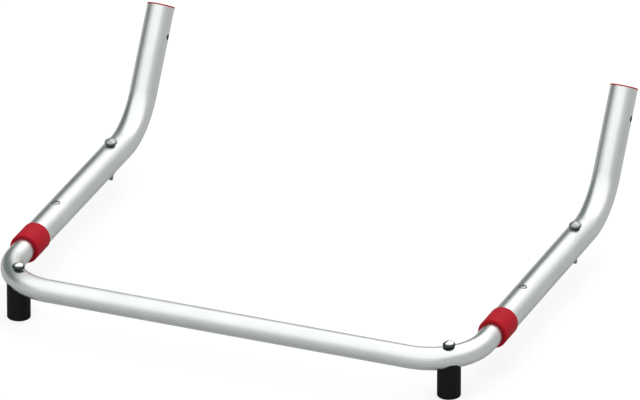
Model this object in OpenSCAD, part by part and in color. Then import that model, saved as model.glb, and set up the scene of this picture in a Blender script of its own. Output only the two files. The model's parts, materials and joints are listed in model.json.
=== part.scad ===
// Telescopic support bar: a U-shaped bar on two feet, whose legs slide into two bent arms.
// x runs along the cross tube, y from the cross tube back to the arms, z up.
// The origin lies on the floor, under the middle of the whole frame.
// Lengths in y below are counted from the axis of the cross tube.

/* [U-bar] */
// Outer diameter of the U-bar's tube
bar_d = 25; // [22:0.5:25]
// Wall of the U-bar's tube
bar_wall = 1.5; // [1.2:0.1:2.5]
// Radius of the two corners, at the tube's centre line
corner_r = 62; // [50:1:75]
// Where the legs end, behind the cross tube
leg_end_y = 306; // [302:1:307]
// How far the U-bar pulls out of the arms
travel = 120; // [40:5:120]

/* [Arms] */
// Distance between the axes of the two arms
arm_spacing = 536; // [440:2:640]
// Outer diameter of each arm tube
arm_d = 30; // [30:0.5:32]
// Wall of each arm tube
arm_wall = 1.5; // [1.2:0.1:1.6]
// Where the arm's two straight lengths would cross, behind the cross tube
arm_corner_y = 392; // [385:1:440]
// Bend radius of the arm, at the tube's centre line
arm_bend_r = 75; // [60:1:90]
// How steeply the arm rises behind its bend, in degrees
arm_rise = 58; // [40:1:70]
// Length of the rising arm, from the crossing point to its open end
arm_tail = 137.5; // [120:0.5:180]
// Diameter of the cross hole through each arm
cross_hole_d = 6.5; // [5.5:0.1:8.5]
// Distance of the cross hole from the arm's end
cross_hole_inset = 32; // [28:1:50]

/* [Collars and plugs] */
// Front face of the collars, behind the cross tube
collar_y = 82; // [78:0.5:90]
// Length of each collar
collar_len = 33.7; // [20:0.1:40]
// Wall of a collar outside the arm tube
collar_wall = 1.3; // [1:0.05:3]
// Length of the guide sleeve inside each arm
sleeve_len = 40; // [30:1:60]
// Thickness of the end plug's flange
plug_flange = 1.2; // [1:0.1:4]
// How deep the end plug's spigot goes into the arm
plug_depth = 18; // [10:1:20]

/* [Feet] */
// Height of the tube axes above the floor
foot_h = 44.3; // [36:0.1:60]
// Diameter of each foot
foot_d = 25.4; // [22:0.2:30]
// How far below the tube's axis the foot's top face lies
foot_top_drop = 6; // [4:0.5:9]
// Place of the foot on the corner, in degrees round the bend from the leg
foot_angle = 50; // [40:1:60]

/* [Fasteners] */
// Thread diameter of the arm bolts and the foot screws
bolt_d = 5; // [4:1:5]
// Head diameter of the arm bolts and the foot screws
head_d = 13.6; // [12:0.1:14]
// Head height of the arm bolts and the foot screws, above their shoulder
head_h = 5.4; // [4:0.1:6]
// Height of the round shoulder that holds their heads off the tubes
shoulder_h = 1.2; // [0.5:0.1:3]
// Place of the arm bolts, behind the cross tube
bolt_y = 323; // [323:0.5:328]
// How far the arm bolts reach below the arms
bolt_stick_out = 12.5; // [9:0.5:14]
// Place of the rivets, behind the cross tube
rivet_y = 170.5; // [165:0.5:175]
// Flange diameter of the rivets
rivet_flange_d = 9.5; // [8:0.1:11]

/* [Hidden] */
$fn = 96;

LEFT = -1;
RIGHT = 1;
cut = 1;                 // how far a cut runs past the face it opens
snug = 0.05;             // gap between pieces that are fixed to each other
running = 0.08;          // radial gap of a running fit
bar_gap = 0.3;           // gap between the bar and the collar that it passes through
hair = 0.02;             // a difference too small to see, which keeps faces from coinciding

bar_r = bar_d / 2;
arm_r = arm_d / 2;
arm_bore_r = arm_r - arm_wall;
leg_x = arm_spacing / 2;
corner_x = leg_x - corner_r;

// The arm's bend starts one tangent length before the crossing point.
bend_tangent = arm_bend_r * tan(arm_rise / 2);
bend_y = arm_corner_y - bend_tangent;
arm_end_y = arm_corner_y + arm_tail * cos(arm_rise);
arm_end_z = arm_tail * sin(arm_rise);

// The collar's front wall traps the lip of the guide sleeve against the arm tube's mouth.
collar_r = arm_r + collar_wall;
collar_front = 2.4;
sleeve_lip = 1.4;
mouth_y = collar_y + collar_front + sleeve_lip;
edge = 0.5;              // chamfer on the moulded pieces' edges

// The rivet's blind end runs in a slot along the top of the leg and stops the slide both ways.
rivet_d = 4.8;
rivet_hole_d = rivet_d + 2 * snug;
rivet_flange_h = 1.6;
rivet_bulge_d = 6.6;
rivet_bulge_h = 4;
rivet_bulge_gap = 0.5;   // keeps the blind bulge clear of the bore's curve
mandrel_d = 2.6;
mandrel_head_d = 4.4;
mandrel_head_h = 1.6;
slot_w = 8;
slot_stop = 0.5;         // gap left at each end of the slot
slot_front_y = rivet_y - rivet_bulge_d / 2 - slot_stop;
slot_back_y = rivet_y + travel + rivet_bulge_d / 2 + slot_stop;

// The glide caps the leg's end and fills the arm's bore behind it.
glide_len = 12;
glide_spigot = 9;
glide_wall = 2;

// The foot hangs on a screw that runs down through the corner into its threaded insert.
foot_x = corner_x + corner_r * cos(foot_angle);
foot_y = corner_r - corner_r * sin(foot_angle);
foot_edge = 0.8;
insert_d = 8;
insert_len = 14;
insert_top_z = -bar_r - 2.5;
screw_end_z = insert_top_z - insert_len + 2;

head_rim = 2;            // straight side under the head's dome
shoulder_d = 8;
neck_len = 3.5;          // square neck under the head
neck_w = bolt_d + 0.4;
nut_across_flats = 1.6 * bolt_d;
nut_hex_h = 4.4;
nut_collar_h = 1.9;
plug_spigot_wall = 1.6;
plug_r = arm_r + 0.25;

// The frame's middle in y lies halfway from the cross tube's front to the end plugs' rear edge.
rear_y = arm_end_y + (plug_flange - edge) * cos(arm_rise) + plug_r * sin(arm_rise);
mid_y = (rear_y - bar_r) / 2;

aluminium = [0.78, 0.80, 0.79];
red = [0.75, 0.13, 0.19];
black = [0.08, 0.08, 0.08];
steel = [0.62, 0.65, 0.64];
polished = [0.85, 0.86, 0.86];
brass = [0.78, 0.62, 0.30];

// ---- placing ----

module placed() translate([0, -mid_y, foot_h]) children();

module on_side(side) {
    if (side < 0) mirror([1, 0, 0]) children();
    else children();
}

module at_arm(side, y) placed() translate([side * leg_x, y, 0]) children();

module at_arm_end(side) {
    placed() translate([side * leg_x, arm_end_y, arm_end_z])
        rotate([arm_rise - 90, 0, 0]) children();
}

module at_foot(side) placed() translate([side * foot_x, foot_y, 0]) children();

// Turns a shape drawn along z so that it runs back along y.
module along_y() rotate([-90, 0, 0]) children();

// ---- shared shapes ----

// The U-bar's solid run at radius r; past lengthens both leg ends.
module bar_run(r, past = 0) {
    translate([-corner_x, 0, 0]) rotate([0, 90, 0]) cylinder(h = 2 * corner_x, r = r);
    for (side = [LEFT, RIGHT]) on_side(side) translate([corner_x, corner_r, 0]) {
        rotate([0, 0, -90]) rotate_extrude(angle = 90) translate([corner_r, 0]) circle(r);
        translate([corner_r, 0, 0]) along_y() cylinder(h = leg_end_y - corner_r + past, r = r);
    }
}

// An arm's solid run at radius r, from its mouth at y = 0; past lengthens both ends.
// The rising length starts just inside the bend, a hair slimmer than it.
module arm_run(r, past = 0) {
    low_len = bend_y - mouth_y;
    rise_len = arm_tail - bend_tangent;
    translate([0, -past, 0]) along_y() cylinder(h = low_len + past, r = r);
    translate([0, low_len, arm_bend_r]) rotate([0, 90, 0])
        rotate_extrude(angle = arm_rise) translate([arm_bend_r, 0]) circle(r);
    translate([0, low_len + arm_bend_r * sin(arm_rise), arm_bend_r * (1 - cos(arm_rise))])
        rotate([arm_rise - 90, 0, 0]) translate([0, 0, -edge])
            cylinder(h = edge + rise_len + past, r = r - hair);
}

// A slot through the top of a leg, with round ends.
module leg_slot() {
    end_r = slot_w / 2;
    span = slot_back_y - slot_front_y - slot_w;
    translate([0, slot_front_y + end_r, 0]) {
        for (y = [0, span]) translate([0, y, 0]) cylinder(h = bar_r + cut, r = end_r);
        translate([-end_r, 0, 0]) cube([slot_w, span, bar_r + cut]);
    }
}

// A bolt head: a cap of a sphere with a tiny flat on top, on a straight side.
module cup_head() {
    dome_h = head_h + hair - head_rim;
    cap_r = (head_d * head_d / 4 + dome_h * dome_h) / (2 * dome_h);
    intersection() {
        translate([0, 0, head_rim + dome_h - cap_r]) sphere(cap_r);
        cylinder(h = head_h, d = head_d);
    }
}

// A bolt set in a tube at z = 0: its head on the shoulder above, its square neck and
// chamfered end below.
module cup_bolt(length) {
    translate([0, 0, shoulder_h]) cup_head();
    cylinder(h = shoulder_h + head_rim / 2, d = shoulder_d);
    translate([-neck_w / 2, -neck_w / 2, -neck_len]) cube([neck_w, neck_w, neck_len]);
    translate([0, 0, edge - length]) cylinder(h = length - neck_len - edge, d = bolt_d);
    translate([0, 0, -length]) cylinder(h = edge, d1 = bolt_d - 2 * edge, d2 = bolt_d);
}

// The square hole that keeps a bolt's neck from turning.
module neck_hole(depth) {
    side = neck_w + 4 * snug;
    translate([-side / 2, -side / 2, 0]) cube([side, side, depth]);
}

// ---- the U-bar and its feet ----

module u_bar() {
    color(aluminium) placed() difference() {
        bar_run(bar_r);
        bar_run(bar_r - bar_wall, cut);
        for (side = [LEFT, RIGHT]) on_side(side) {
            translate([leg_x, 0, 0]) leg_slot();
            translate([foot_x, foot_y, 0]) {
                neck_hole(bar_r + cut);
                mirror([0, 0, 1]) cylinder(h = bar_r + cut, d = bolt_d + 4 * snug);
            }
        }
    }
}

module foot_outline() {
    tall = foot_h - foot_top_drop;
    translate([0, foot_edge]) square([foot_d / 2, tall - foot_edge]);
    square([foot_d / 2 - foot_edge, foot_edge]);
    translate([foot_d / 2 - foot_edge, foot_edge]) intersection() {
        circle(foot_edge);
        translate([0, -foot_edge]) square(foot_edge);
    }
}

module foot(side) {
    color(black) difference() {
        at_foot(side) translate([0, 0, -foot_h]) rotate_extrude() foot_outline();
        placed() bar_run(bar_r + snug);
        at_foot(side) {
            translate([0, 0, insert_top_z - insert_len - snug])
                cylinder(h = insert_len + 2 * snug, d = insert_d + 2 * snug);
            translate([0, 0, insert_top_z]) cylinder(h = -insert_top_z, d = bolt_d + 4 * snug);
        }
    }
}

module foot_insert(side) {
    color(brass) at_foot(side) translate([0, 0, insert_top_z - insert_len]) difference() {
        cylinder(h = insert_len, d = insert_d);
        translate([0, 0, edge]) cylinder(h = insert_len, d = bolt_d + 2 * snug);
    }
}

module foot_screw(side) {
    color(polished) at_foot(side) translate([0, 0, bar_r]) cup_bolt(bar_r - screw_end_z);
}

module leg_glide(side) {
    color(black) at_arm(side, leg_end_y) along_y() difference() {
        union() {
            translate([0, 0, snug]) cylinder(h = glide_len, r = arm_bore_r - running);
            translate([0, 0, -glide_spigot])
                cylinder(h = glide_spigot + cut, r = bar_r - bar_wall - snug);
        }
        translate([0, 0, -glide_spigot - cut])
            cylinder(h = glide_spigot + glide_len - glide_wall + cut, r = bar_r - bar_wall - glide_wall);
    }
}

// ---- the arms ----

module arm_tube(side) {
    color(aluminium) difference() {
        at_arm(side, mouth_y) arm_run(arm_r);
        at_arm(side, mouth_y) arm_run(arm_bore_r, cut);
        at_arm(side, rivet_y) cylinder(h = arm_r + cut, d = rivet_hole_d);
        at_arm(side, bolt_y) {
            neck_hole(arm_r + cut);
            mirror([0, 0, 1]) cylinder(h = arm_r + cut, d = bolt_d + 4 * snug);
        }
        at_arm_end(side) translate([-arm_r - cut, 0, -cross_hole_inset])
            rotate([0, 90, 0]) cylinder(h = 2 * (arm_r + cut), d = cross_hole_d);
    }
}

module collar_outline() {
    front_bore = bar_r + bar_gap;
    sleeve_bore = arm_r + snug;
    polygon([
        [front_bore, 0], [collar_r - edge, 0], [collar_r, edge],
        [collar_r, collar_len - edge], [collar_r - edge, collar_len],
        [sleeve_bore, collar_len], [sleeve_bore, collar_front], [front_bore, collar_front]
    ]);
}

module collar(side) {
    color(red) at_arm(side, collar_y) along_y() rotate_extrude() collar_outline();
}

module guide_sleeve(side) {
    color(black) at_arm(side, collar_y + collar_front + snug) along_y() difference() {
        union() {
            cylinder(h = sleeve_lip - 2 * snug, r = arm_r - snug);
            cylinder(h = sleeve_len, r = arm_bore_r - snug);
        }
        translate([0, 0, -cut]) cylinder(h = sleeve_len + 2 * cut, r = bar_r + running);
    }
}

module end_plug(side) {
    spigot_r = arm_bore_r - snug;
    color(red) at_arm_end(side) rotate_extrude() polygon([
        [0, snug], [spigot_r - plug_spigot_wall, snug], [spigot_r - plug_spigot_wall, -plug_depth],
        [spigot_r - edge, -plug_depth], [spigot_r, edge - plug_depth], [spigot_r, snug],
        [plug_r, snug], [plug_r, plug_flange - edge], [plug_r - edge, plug_flange], [0, plug_flange]
    ]);
}

module rivet(side) {
    dome_r = (rivet_flange_d * rivet_flange_d / 4 + rivet_flange_h * rivet_flange_h)
        / (2 * rivet_flange_h);
    color(aluminium) at_arm(side, rivet_y) difference() {
        union() {
            intersection() {
                translate([0, 0, arm_r + rivet_flange_h - dome_r]) sphere(dome_r);
                translate([0, 0, arm_r]) cylinder(h = rivet_flange_h, d = rivet_flange_d);
            }
            translate([0, 0, arm_bore_r - cut]) cylinder(h = arm_wall + 2 * cut, d = rivet_d);
            translate([0, 0, arm_bore_r - rivet_bulge_gap - rivet_bulge_h])
                cylinder(h = rivet_bulge_h, d = rivet_bulge_d);
        }
        cylinder(h = arm_d, d = mandrel_d + 2 * snug);
    }
}

module rivet_mandrel(side) {
    bulge_end_z = arm_bore_r - rivet_bulge_gap - rivet_bulge_h;
    recess = 1;          // the mandrel breaks off below the top of the flange
    color(steel) at_arm(side, rivet_y) {
        translate([0, 0, bulge_end_z - mandrel_head_h - snug])
            cylinder(h = mandrel_head_h, d = mandrel_head_d);
        translate([0, 0, bulge_end_z - cut])
            cylinder(h = arm_r + rivet_flange_h - recess - bulge_end_z + cut, d = mandrel_d);
    }
}

module arm_bolt(side) {
    color(steel) at_arm(side, bolt_y) translate([0, 0, arm_r])
        cup_bolt(arm_d + bolt_stick_out);
}

module arm_nut(side) {
    nut_h = nut_hex_h + nut_collar_h;
    color(steel) at_arm(side, bolt_y) translate([0, 0, -arm_r]) mirror([0, 0, 1]) difference() {
        union() {
            cylinder(h = nut_hex_h, d = nut_across_flats / cos(30), $fn = 6);
            cylinder(h = nut_h, d = nut_across_flats - 2 * edge);
        }
        translate([0, 0, -cut]) cylinder(h = nut_h + 2 * cut, d = bolt_d + 2 * snug);
    }
}

// ---- nodes ----

u_bar();
foot(LEFT);  // left_foot
foot(RIGHT);  // right_foot
foot_insert(LEFT);  // left_foot_insert
foot_insert(RIGHT);  // right_foot_insert
foot_screw(LEFT);  // left_foot_screw
foot_screw(RIGHT);  // right_foot_screw
leg_glide(LEFT);  // left_leg_glide
leg_glide(RIGHT);  // right_leg_glide
arm_tube(LEFT);  // left_arm_tube
collar(LEFT);  // left_collar
guide_sleeve(LEFT);  // left_guide_sleeve
end_plug(LEFT);  // left_end_plug
rivet(LEFT);  // left_rivet
rivet_mandrel(LEFT);  // left_rivet_mandrel
arm_bolt(LEFT);  // left_arm_bolt
arm_nut(LEFT);  // left_arm_nut
arm_tube(RIGHT);  // right_arm_tube
collar(RIGHT);  // right_collar
guide_sleeve(RIGHT);  // right_guide_sleeve
end_plug(RIGHT);  // right_end_plug
rivet(RIGHT);  // right_rivet
rivet_mandrel(RIGHT);  // right_rivet_mandrel
arm_bolt(RIGHT);  // right_arm_bolt
arm_nut(RIGHT);  // right_arm_nut
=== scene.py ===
# Looks of the telescopic support bar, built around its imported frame. Lengths are in metres.
import json
import math

import bmesh
import bpy
from mathutils import Matrix, Vector


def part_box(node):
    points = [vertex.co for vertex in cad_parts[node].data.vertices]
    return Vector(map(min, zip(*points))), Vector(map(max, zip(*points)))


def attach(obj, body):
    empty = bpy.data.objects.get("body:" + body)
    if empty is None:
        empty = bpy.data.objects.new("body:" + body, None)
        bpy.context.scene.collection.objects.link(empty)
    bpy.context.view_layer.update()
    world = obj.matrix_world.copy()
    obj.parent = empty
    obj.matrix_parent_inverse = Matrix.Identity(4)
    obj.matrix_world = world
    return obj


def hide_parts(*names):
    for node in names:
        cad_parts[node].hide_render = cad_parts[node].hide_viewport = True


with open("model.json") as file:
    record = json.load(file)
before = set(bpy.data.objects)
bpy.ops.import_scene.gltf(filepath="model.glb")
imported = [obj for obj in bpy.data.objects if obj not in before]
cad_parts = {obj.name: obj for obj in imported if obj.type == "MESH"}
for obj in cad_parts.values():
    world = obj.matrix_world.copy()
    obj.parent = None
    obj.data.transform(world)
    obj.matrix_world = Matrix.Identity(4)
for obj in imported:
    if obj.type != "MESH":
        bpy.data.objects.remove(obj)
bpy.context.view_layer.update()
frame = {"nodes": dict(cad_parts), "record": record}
SIDES = {"left": -1, "right": 1}
MM = 0.001

# ---- places in metres: what the frame can tell is read from it ----

BAR_LOW, BAR_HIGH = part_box("u_bar")
BAR_R = (BAR_HIGH.z - BAR_LOW.z) / 2
AXIS_Z = (BAR_HIGH.z + BAR_LOW.z) / 2
CROSS_Y = BAR_LOW.y + BAR_R
LEG_X = BAR_HIGH.x - BAR_R
CORNER_R = 62 * MM
CORNER_X = LEG_X - CORNER_R
CORNER_Y = CROSS_Y + CORNER_R
ARM_RISE = math.radians(58)
ARM_BEND_R = 75 * MM
ARM_CORNER_Y = CROSS_Y + 392 * MM
BEND_Y = ARM_CORNER_Y - ARM_BEND_R * math.tan(ARM_RISE / 2)
BEND_Z = AXIS_Z + ARM_BEND_R
FOOT_LOW, FOOT_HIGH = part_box("right_foot")
FOOT_X = (FOOT_LOW.x + FOOT_HIGH.x) / 2
FOOT_Y = (FOOT_LOW.y + FOOT_HIGH.y) / 2

# ---- sizes in millimetres, the same as in the CAD ----

ARM_R = 15.0
COLLAR_Y = 82.0                   # places behind the axis of the cross tube
RIVET_Y = 170.5
BOLT_Y = 323.0
ARM_END_Y, ARM_END_Z = 464.864, 116.607   # middle of an arm's open end, behind and above the axes
PLUG_TILT = -32.0                 # how far the open end's axis leans back, in degrees
HEAD_R = 6.8                      # the arm bolts' and foot screws' heads
HEAD_H = 5.4
HEAD_RIM = 2.0
SHOULDER_R = 4.0
SHOULDER_H = 1.2
NECK_HALF = 2.7                   # half the width of their square necks
SHANK_R = 2.5

# ---- detail that the CAD hasn't: heights in millimetres from the top of the tube ----

NECK_END = -3.4
THREAD_TOP = -22.0
THREAD_END = -41.9
THREAD_PITCH = 0.8
THREAD_DEPTH = 0.46
THREAD_STEP = 0.1                 # height of one row of the modelled thread
SHARP_FROM = 38                   # edges from this angle up stay sharp, in degrees


# ---- node building ----

class Nodes:
    """A node tree, with short calls for the nodes used here."""

    def __init__(self, tree):
        self.tree = tree

    def add(self, kind, **settings):
        node = self.tree.nodes.new(kind)
        for key, value in settings.items():
            setattr(node, key, value)
        return node

    def feed(self, socket, value):
        if isinstance(value, bpy.types.NodeSocket):
            self.tree.links.new(value, socket)
        else:
            socket.default_value = value

    def math(self, operation, first, second=0.0, third=0.0):
        node = self.add("ShaderNodeMath", operation=operation)
        for socket, value in zip(node.inputs, (first, second, third)):
            self.feed(socket, value)
        return node.outputs[0]

    def choose(self, test, yes, no):
        """yes where test is 1, no where it is 0."""
        return self.math("ADD", self.math("MULTIPLY", test, yes),
                         self.math("MULTIPLY", self.math("SUBTRACT", 1.0, test), no))

    def split(self, vector):
        node = self.add("ShaderNodeSeparateXYZ")
        self.feed(node.inputs[0], vector)
        return node.outputs

    def join(self, x, y, z):
        node = self.add("ShaderNodeCombineXYZ")
        for socket, value in zip(node.inputs, (x, y, z)):
            self.feed(socket, value)
        return node.outputs[0]

    def noise(self, where, scale, detail=2.0, rough=0.5):
        node = self.add("ShaderNodeTexNoise")
        self.feed(node.inputs["Vector"], where)
        node.inputs["Scale"].default_value = scale
        node.inputs["Detail"].default_value = detail
        node.inputs["Roughness"].default_value = rough
        return node.outputs["Fac"]

    def ramp(self, value, low, high, out_low, out_high):
        node = self.add("ShaderNodeMapRange", interpolation_type="SMOOTHSTEP")
        for socket, number in zip(node.inputs, (value, low, high, out_low, out_high)):
            self.feed(socket, number)
        return node.outputs["Result"]

    def blend_colour(self, amount, first, second):
        node = self.add("ShaderNodeMix", data_type="RGBA")
        self.feed(node.inputs["Factor"], amount)
        self.feed(node.inputs["A"], (*first, 1.0) if isinstance(first, tuple) else first)
        self.feed(node.inputs["B"], (*second, 1.0) if isinstance(second, tuple) else second)
        return node.outputs["Result"]

    def bump(self, height, distance, strength=1.0, under=None):
        node = self.add("ShaderNodeBump")
        node.inputs["Strength"].default_value = strength
        node.inputs["Distance"].default_value = distance
        self.feed(node.inputs["Height"], height)
        if under is not None:
            self.feed(node.inputs["Normal"], under)
        return node.outputs["Normal"]


class Shader(Nodes):
    """A material. Its place is the piece's own at rest, so a texture moves with the piece."""

    def __init__(self, name):
        self.material = bpy.data.materials.new(name)
        self.material.use_nodes = True
        super().__init__(self.material.node_tree)
        self.surface = self.tree.nodes["Principled BSDF"]
        self.place = self.add("ShaderNodeTexCoord").outputs["Object"]

    def set(self, **values):
        for key, value in values.items():
            socket = self.surface.inputs[key.replace("_", " ")]
            self.feed(socket, (*value, 1.0) if isinstance(value, tuple) else value)
        return self


# ---- materials ----

def across_u_bar(shader):
    """Distance from the U-bar's centre line, in the plane of the bar: the same all along the tube."""
    x, y, _ = shader.split(shader.place)
    x = shader.math("ABSOLUTE", x)
    from_x = shader.math("SUBTRACT", x, CORNER_X)
    from_y = shader.math("SUBTRACT", CORNER_Y, y)
    reach = shader.math("SQRT", shader.math("ADD", shader.math("MULTIPLY", from_x, from_x),
                                            shader.math("MULTIPLY", from_y, from_y)))
    in_corner = shader.math("SUBTRACT", reach, CORNER_R)
    on_cross = shader.math("SUBTRACT", CROSS_Y, y)
    on_leg = shader.math("SUBTRACT", x, LEG_X)
    past_corner = shader.choose(shader.math("GREATER_THAN", y, CORNER_Y), on_leg, in_corner)
    return shader.choose(shader.math("LESS_THAN", x, CORNER_X), on_cross, past_corner)


def across_arm(shader):
    """Distance from an arm's centre line, in the plane of its bend: the same all along the tube."""
    _, y, z = shader.split(shader.place)
    from_y = shader.math("SUBTRACT", y, BEND_Y)
    from_z = shader.math("SUBTRACT", BEND_Z, z)
    reach = shader.math("SQRT", shader.math("ADD", shader.math("MULTIPLY", from_y, from_y),
                                            shader.math("MULTIPLY", from_z, from_z)))
    in_bend = shader.math("SUBTRACT", reach, ARM_BEND_R)
    on_low = shader.math("SUBTRACT", AXIS_Z, z)
    round_bend = shader.math("ARCTAN2", from_y, from_z)
    sideways = shader.math("ADD", shader.math("MULTIPLY", from_y, math.sin(ARM_RISE)),
                           shader.math("MULTIPLY", from_z, math.cos(ARM_RISE)))
    on_rise = shader.math("SUBTRACT", sideways, ARM_BEND_R)
    past_low = shader.choose(shader.math("GREATER_THAN", round_bend, ARM_RISE), on_rise, in_bend)
    return shader.choose(shader.math("LESS_THAN", y, BEND_Y), on_low, past_low)


def anodised(name, across, beside):
    """Satin anodised tube: drawing lines that follow the tube round its bends, and a fine grain.

    beside is the axis square to the plane of the bend: 0 for x or 2 for z."""
    s = Shader(name)
    side = s.split(s.place)[beside]
    along = s.math("MULTIPLY", s.split(s.place)[1], 0.012)
    lines = s.noise(s.join(side, across(s), along), 2600.0, 3.0, 0.6)
    grain = s.noise(s.place, 5200.0, 2.0, 0.6)
    cloud = s.noise(s.place, 26.0, 3.0, 0.5)
    tint = s.blend_colour(s.ramp(cloud, 0.3, 0.7, 0.0, 1.0), (0.706, 0.721, 0.709),
                          (0.750, 0.764, 0.753))
    colour = s.blend_colour(s.ramp(lines, 0.35, 0.75, 0.0, 0.16), tint, (0.605, 0.618, 0.61))
    rough = s.math("ADD", s.ramp(lines, 0.3, 0.7, 0.25, 0.31),
                   s.math("MULTIPLY", s.math("SUBTRACT", cloud, 0.5), 0.08))
    relief = s.bump(grain, 0.000004, 0.5, s.bump(lines, 0.000006, 0.5))
    s.set(Base_Color=colour, Metallic=1.0, Roughness=rough, Normal=relief)
    return s.material


def moulded(name, colour, dark, roughness, gloss, grain_scale=3200.0):
    """Injection-moulded plastic with a fine spark-eroded texture."""
    s = Shader(name)
    pits = s.noise(s.place, grain_scale, 3.0, 0.6)
    flow = s.noise(s.place, 55.0, 3.0, 0.5)
    shade = s.ramp(flow, 0.3, 0.7, 0.0, 1.0)
    rough = s.math("ADD", s.ramp(pits, 0.3, 0.7, roughness - 0.05, roughness + 0.07),
                   s.math("MULTIPLY", s.math("SUBTRACT", flow, 0.5), 0.06))
    s.set(Base_Color=s.blend_colour(shade, dark, colour), Roughness=rough,
          Normal=s.bump(pits, 0.00003, 0.35))
    s.surface.inputs["Specular IOR Level"].default_value = gloss
    return s.material


def plated(name, colour, dark, roughness, spread, grain_scale, relief, sides=None):
    """Metal whose plating or polish varies a little in tone and gloss.

    sides, if given, is a painted shade: the darker colour that it takes on its upright sides, in place
    of the dark reflections there."""
    s = Shader(name)
    cloud = s.noise(s.place, 420.0, 4.0, 0.6)
    grain = s.noise(s.place, grain_scale, 3.0, 0.6)
    tint = s.blend_colour(s.ramp(cloud, 0.3, 0.7, 0.0, 1.0), dark, colour)
    # painted shade: upright faces blend to the sides colour, standing in for the dark reflections
    # there
    if sides:
        up = s.split(s.add("ShaderNodeTexCoord").outputs["Normal"])[2]
        tint = s.blend_colour(s.ramp(up, 0.25, 0.6, 1.0, 0.0), tint, sides)
    rough = s.ramp(grain, 0.3, 0.7, roughness - spread, roughness + spread)
    s.set(Base_Color=tint, Metallic=1.0, Roughness=rough, Normal=s.bump(grain, relief, 0.5))
    return s.material


def polished(name):
    """Mirror-bright screw heads, with a painted dark reflection that darkens them towards their
    upright sides.
    """
    s = Shader(name)
    up = s.split(s.add("ShaderNodeTexCoord").outputs["Normal"])[2]
    swirl = s.noise(s.place, 700.0, 4.0, 0.6)
    bright = s.blend_colour(s.ramp(swirl, 0.3, 0.7, 0.0, 1.0), (0.80, 0.82, 0.81),
                            (0.90, 0.91, 0.90))
    # painted reflection: upright faces blend to near black, standing in for the dark room they would
    # mirror
    colour = s.blend_colour(s.ramp(up, 0.72, 0.876, 1.0, 0.0), bright, (0.05, 0.065, 0.055))
    s.set(Base_Color=colour, Metallic=1.0, Roughness=s.ramp(swirl, 0.3, 0.7, 0.05, 0.11))
    return s.material


MATERIALS = {
    "anodised_bar": anodised("anodised_bar", across_u_bar, 2),
    "anodised_arm": anodised("anodised_arm", across_arm, 0),
    "red_plastic": moulded("red_plastic", (0.395, 0.009, 0.020), (0.365, 0.007, 0.016), 0.48, 0.06),
    "black_rubber": moulded("black_rubber", (0.0075, 0.0075, 0.0072), (0.0055, 0.0055, 0.0055), 0.66,
                            0.12, 1900.0),
    "black_nylon": moulded("black_nylon", (0.016, 0.016, 0.016), (0.011, 0.011, 0.011), 0.50, 0.3),
    "polished_steel": polished("polished_steel"),
    # zinc_steel's sides colour is a painted shade on the upright sides of the arm bolts and nuts
    "zinc_steel": plated("zinc_steel", (0.38, 0.40, 0.39), (0.31, 0.33, 0.32), 0.40, 0.06,
                         3000.0, 0.000008, sides=(0.12, 0.13, 0.125)),
    "rivet_aluminium": plated("rivet_aluminium", (0.29, 0.30, 0.295), (0.26, 0.27, 0.265), 0.34, 0.05,
                              3000.0, 0.000005),
    "dark_steel": plated("dark_steel", (0.10, 0.10, 0.10), (0.07, 0.07, 0.07), 0.45, 0.08,
                         3000.0, 0.000010),
    "brass": plated("brass", (0.72, 0.55, 0.26), (0.64, 0.47, 0.20), 0.28, 0.05, 3000.0, 0.000006),
}


def dress_nodes():
    """Gives every CAD node the material of its slot in the record."""
    for part in frame["record"]["subparts"]:
        node = frame["nodes"][part["node"]]
        node.data.materials.clear()
        node.data.materials.append(MATERIALS[part["material_slot"]])


# ---- pieces with finer shapes than their CAD nodes: rows and outlines in millimetres ----

def rounded(corners, steps=5):
    """A closed outline of (radius, height) points, from (radius, height, fillet) corners."""
    points = []
    for index, (radius, height, fillet) in enumerate(corners):
        here = Vector((radius, height))
        before = Vector(corners[index - 1][:2]) - here
        after = Vector(corners[(index + 1) % len(corners)][:2]) - here
        half = before.angle(after) / 2
        reach = min(fillet / math.tan(half), 0.45 * before.length, 0.45 * after.length)
        start, end = here + before.normalized() * reach, here + after.normalized() * reach
        inward = (before.normalized() + after.normalized()).normalized()
        middle = here + inward * reach / math.cos(half)
        sweep = math.pi - 2 * half
        for step in range(steps + 1):
            turn = sweep * step / steps
            points.append(middle + ((start - middle) * math.sin(sweep - turn)
                                    + (end - middle) * math.sin(turn)) / math.sin(sweep))
    return [tuple(point) for point in points]


def dome(tall, wide, rim, steps=14):
    """The (radius, height) points of a cap of a sphere, from its top down to an upright rim."""
    rise = tall - rim
    ball = (wide * wide + rise * rise) / (2 * rise)
    widest = math.asin(wide / ball)
    return [(ball * math.sin(widest * step / steps),
             tall - ball + ball * math.cos(widest * step / steps)) for step in range(1, steps + 1)]


def square(half):
    """The radius round a square bar, as a function of the angle."""
    return lambda turn: half / max(abs(math.cos(turn)), abs(math.sin(turn)))


def hexagon(half, most):
    """The radius round a hexagon whose corners are turned down to a largest radius."""
    def radius(turn):
        return min(most, half / math.cos((turn + math.pi / 6) % (math.pi / 3) - math.pi / 6))
    return radius


def thread(outer, height, pitch, depth):
    """The radius round one level of a screw thread."""
    def radius(turn):
        phase = height / pitch - turn / (2 * math.pi)
        return outer - depth * (0.5 - 0.5 * math.cos(2 * math.pi * phase))
    return radius


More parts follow.
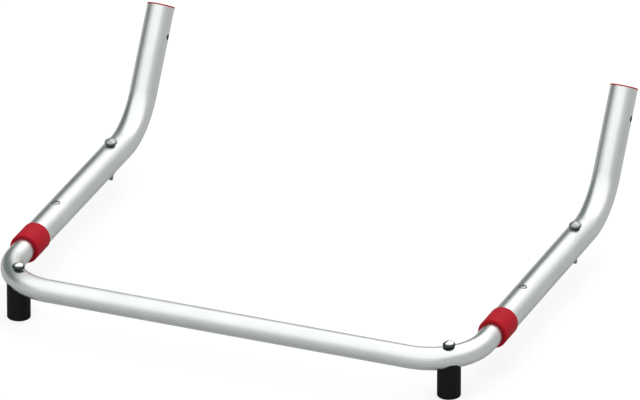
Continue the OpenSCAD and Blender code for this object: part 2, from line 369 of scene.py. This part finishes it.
def turned(name, rows, place, body, slot, nodes, ring=False, around=72, settle=None):
    """A turned piece: rows of (radius, height), where a radius may depend on the angle.

    A row of radius 0 closes an end; ring joins the last row to the first. settle moves each point,
    still in millimetres, before the piece is set in its place."""
    mesh = bpy.data.meshes.new(name)
    form = bmesh.new()
    made = []
    for radius, height in rows:
        if radius == 0:
            made.append([form.verts.new((0, 0, height))])
            continue
        level = []
        for step in range(around):
            turn = 2 * math.pi * step / around
            reach = radius(turn) if callable(radius) else radius
            level.append(form.verts.new((reach * math.cos(turn), reach * math.sin(turn), height)))
        made.append(level)
    pairs = list(zip(made, made[1:]))
    if ring:
        pairs.append((made[-1], made[0]))
    for low, high in pairs:
        for step in range(around):
            after = (step + 1) % around
            if len(low) == 1:
                form.faces.new((low[0], high[step], high[after]))
            elif len(high) == 1:
                form.faces.new((low[step], high[0], low[after]))
            else:
                form.faces.new((low[step], high[step], high[after], low[after]))
    if settle:
        for vertex in form.verts:
            vertex.co = settle(vertex.co)
    form.transform(place @ Matrix.Scale(MM, 4))
    bmesh.ops.recalc_face_normals(form, faces=form.faces)
    form.to_mesh(mesh)
    form.free()
    for face in mesh.polygons:
        face.use_smooth = True
    mesh.set_sharp_from_angle(angle=math.radians(SHARP_FROM))
    mesh.materials.append(MATERIALS[slot])
    piece = bpy.data.objects.new(name, mesh)
    bpy.context.scene.collection.objects.link(piece)
    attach(piece, body)
    if nodes:
        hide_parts(*nodes)
    return piece


def on_arm(side, y, z=0.0, tilt=0.0):
    """A place on an arm's centre plane, y behind the cross tube and z above the axis, tipped back."""
    return (Matrix.Translation((side * LEG_X, CROSS_Y + y * MM, AXIS_Z + z * MM))
            @ Matrix.Rotation(math.radians(tilt), 4, "X"))


def make_collar(name, side):
    outline = rounded([(12.8, 0, 0.35), (16.3, 0, 0.8), (16.3, 33.7, 0.8), (15.05, 33.7, 0.2),
                       (15.05, 2.4, 0.1), (12.8, 2.4, 0.1)])
    turned(name + "_collar_moulding", outline, on_arm(side, COLLAR_Y, tilt=-90), name + "_arm",
           "red_plastic", [name + "_collar"], ring=True, around=128)


def make_plug(name, side):
    rows = [(0, 1.3), (0.9, 1.3), (1.15, 1.5), (8.0, 1.52), (14.5, 1.5), (14.9, 1.42), (15.15, 1.2),
            (15.25, 0.95), (15.25, 0.2), (15.1, 0.05), (13.45, 0.05), (13.45, -17.4), (12.85, -18.0),
            (11.85, -18.0), (11.85, -0.6), (11.2, 0.05), (0, 0.05)]
    turned(name + "_plug_moulding", rows, on_arm(side, ARM_END_Y, ARM_END_Z, tilt=PLUG_TILT),
           name + "_arm", "red_plastic", [name + "_end_plug"], around=128)


def make_rivet(name, side):
    """The flange is pulled down on the round of the tube."""
    def settle(point):
        drop = ARM_R - math.sqrt(ARM_R * ARM_R - point.x * point.x)
        return point - Vector((0, 0, drop if point.z > ARM_R - 0.1 else 0))
    cap = [(radius, height + ARM_R) for radius, height in dome(1.6, 4.75, 0.25)]
    rows = [(1.65, 9), (3.3, 9), (3.3, 13), (2.4, 13), (2.4, ARM_R), (4.6, ARM_R), (4.75, 15.12)]
    rows += [row for row in reversed(cap) if row[0] > 1.9] + [(1.75, 16.32), (1.65, 16.1)]
    turned(name + "_rivet_body", rows, on_arm(side, RIVET_Y), name + "_arm", "rivet_aluminium",
           [name + "_rivet"], ring=True, settle=settle)


def cup_head():
    """The rows of a cup head on its shoulder and the square neck below it, from the top down."""
    top = [(radius, height + SHOULDER_H) for radius, height in dome(HEAD_H, HEAD_R, HEAD_RIM)
           if radius < HEAD_R - 0.2]
    rows = [(0, SHOULDER_H + HEAD_H)] + top
    rows += [(6.66, 3.22), (6.77, 3.0), (HEAD_R, 2.75), (HEAD_R, 1.65), (6.65, 1.3), (6.4, SHOULDER_H)]
    rows += [(4.1, 1.18), (SHOULDER_R, 1.05), (SHOULDER_R, 0.15), (3.85, 0)]
    return rows + [(NECK_HALF, 0), (square(NECK_HALF), -0.05), (square(NECK_HALF), NECK_END)]


def make_arm_bolt(name, side):
    rows = cup_head() + [(SHANK_R, -3.5), (SHANK_R, THREAD_TOP)]
    level = THREAD_TOP
    while level > THREAD_END:
        rows.append((thread(SHANK_R, level, THREAD_PITCH, THREAD_DEPTH), level))
        level -= THREAD_STEP
    rows += [(2.05, -42.1), (1.9, -42.5), (0, -42.5)]
    turned(name + "_bolt_threaded", rows, on_arm(side, BOLT_Y, ARM_R), name + "_arm", "zinc_steel",
           [name + "_arm_bolt"], around=48)


def make_nut(name, side):
    """A nut with a round collar, and the locking ring that shows in the collar's mouth."""
    place = on_arm(side, BOLT_Y, -ARM_R, tilt=180)
    rows = [(2.6, 0.3), (2.9, 0), (3.85, 0), (hexagon(4, 3.9), 0.02), (hexagon(4, 4.7), 0.42),
            (hexagon(4, 4.7), 4.0), (hexagon(4, 4.05), 4.4), (3.6, 4.5), (3.55, 5.5), (3.35, 6.05),
            (3.0, 6.3), (2.9, 6.28), (2.9, 5.2), (2.6, 5.1)]
    turned(name + "_nut_body", rows, place, name + "_arm", "zinc_steel", [name + "_arm_nut"],
           ring=True, around=96)
    lining = [(2.46, 5.25), (2.88, 5.25), (2.88, 6.1), (2.46, 5.95)]
    turned(name + "_nut_lining", lining, place, name + "_arm", "black_nylon", [], ring=True)


def make_foot_screw(name, side):
    place = Matrix.Translation((side * FOOT_X, FOOT_Y, BAR_HIGH.z))
    rows = cup_head() + [(SHANK_R, -3.5), (SHANK_R, -39), (2.0, -39.5), (0, -39.5)]
    turned(name + "_foot_screw_turned", rows, place, "u_bar", "polished_steel",
           [name + "_foot_screw"], around=96)


def make_pieces():
    for name, side in SIDES.items():
        make_collar(name, side)
        make_plug(name, side)
        make_rivet(name, side)
        make_arm_bolt(name, side)
        make_nut(name, side)
        make_foot_screw(name, side)


# ---- stage, light and camera ----

def white_to_camera(nodes, seen, lit):
    """A colour that is seen by the camera, and another that the object's reflections and light get."""
    path = nodes.add("ShaderNodeLightPath")
    return nodes.blend_colour(path.outputs["Is Camera Ray"], lit, seen)


def make_floor():
    """White and nearly shadowless where it is seen. In the object's reflections and bounced light it
    is a mid grey, which is lighter in front."""
    half = 8.0
    own_light = 0.72
    mesh = bpy.data.meshes.new("floor")
    corners = [(-half, -half, 0), (half, -half, 0), (half, half, 0), (-half, half, 0)]
    mesh.from_pydata(corners, [], [(0, 1, 2, 3)])
    floor = bpy.data.objects.new("floor", mesh)
    bpy.context.scene.collection.objects.link(floor)
    s = Shader("floor_white")
    lit = s.blend_colour(s.ramp(s.split(s.place)[1], -0.45, -0.25, 1.0, 0.0), (0.44, 0.447, 0.44),
                         (0.53, 0.537, 0.53))
    s.set(Base_Color=white_to_camera(s, (0.97, 0.97, 0.97), lit), Roughness=1.0)
    s.surface.inputs["Specular IOR Level"].default_value = 0.0
    glow = s.add("ShaderNodeEmission")
    share = s.add("ShaderNodeMixShader")
    seen = s.add("ShaderNodeLightPath").outputs["Is Camera Ray"]
    s.feed(share.inputs[0], s.math("MULTIPLY", seen, own_light))
    s.tree.links.new(s.surface.outputs[0], share.inputs[1])
    s.tree.links.new(glow.outputs[0], share.inputs[2])
    s.tree.links.new(share.outputs[0], s.tree.nodes["Material Output"].inputs[0])
    mesh.materials.append(s.material)


def make_world():
    """A white room: bright overhead, grey low down at the sides, dark behind on the left."""
    world = bpy.data.worlds.new("studio")
    bpy.context.scene.world = world
    world.use_nodes = True
    s = Nodes(world.node_tree)
    way = s.add("ShaderNodeTexCoord").outputs["Generated"]
    x, y, z = s.split(way)
    ramp = s.add("ShaderNodeValToRGB")
    s.feed(ramp.inputs["Fac"], z)
    stops = ((0.0, 0.60), (0.12, 0.66), (0.30, 0.82), (0.44, 1.05), (0.56, 1.30), (1.0, 1.36))
    while len(ramp.color_ramp.elements) < len(stops):
        ramp.color_ramp.elements.new(0.5)
    for stop, (height, level) in zip(ramp.color_ramp.elements, stops):
        stop.position = height
        stop.color = (level * 0.993, level * 1.007, level, 1.0)
    front = s.math("MULTIPLY", s.ramp(y, -0.7, -0.1, 1.0, 0.0), s.ramp(z, 0.1, 0.7, 0.22, 0.0))
    sides = s.math("MULTIPLY", s.ramp(s.math("ABSOLUTE", x), 0.45, 0.70, 0.0, 1.0),
                   s.ramp(z, 0.35, 0.62, 0.8, 0.0))
    room = s.blend_colour(front, ramp.outputs["Color"], (1.6, 1.6, 1.6))
    room = s.blend_colour(sides, room, (0.57, 0.58, 0.57))
    back_left = s.math("SUBTRACT", s.math("MULTIPLY", y, 0.45), s.math("MULTIPLY", x, 0.9))
    shade = s.blend_colour(s.ramp(back_left, 0.55, 0.86, 0.0, 1.0), room, (0.165, 0.198, 0.182))
    s.feed(s.tree.nodes["Background"].inputs["Color"], white_to_camera(s, (1.0, 1.0, 1.0), shade))


def make_softbox(name, place, aim, size, power):
    """A rectangular light in watts, facing aim. It isn't part of the object."""
    data = bpy.data.lights.new(name, "AREA")
    data.shape = "RECTANGLE"
    data.size, data.size_y = size
    data.energy = power
    light = bpy.data.objects.new(name, data)
    light.location = place
    light.rotation_euler = (Vector(aim) - Vector(place)).to_track_quat("-Z", "Y").to_euler()
    bpy.context.scene.collection.objects.link(light)


def make_camera():
    """A very long lens: the view is all but a parallel projection."""
    azimuth, elevation = math.radians(22.02), math.radians(26.31)
    back = Vector((math.sin(azimuth) * math.cos(elevation),
                   -math.cos(azimuth) * math.cos(elevation), math.sin(elevation)))
    data = bpy.data.cameras.new("camera")
    data.lens = 1050.0
    data.sensor_width = 36.0
    view_width = 0.6821
    distance = view_width * data.lens / data.sensor_width
    target = Vector((0.011, 0.0, 0.0854))
    data.clip_end = distance * 2
    camera = bpy.data.objects.new("camera", data)
    camera.location = target + back * distance
    camera.rotation_euler = (-back).to_track_quat("-Z", "Y").to_euler()
    bpy.context.scene.collection.objects.link(camera)
    bpy.context.scene.camera = camera


bpy.context.scene.view_settings.view_transform = "Standard"
make_camera()
make_world()
make_floor()
make_softbox("ceiling", (0.3, 0.9, 1.6), (0.0, 0.1, 0.05), (1.6, 1.2), 8.0)
dress_nodes()
make_pieces()
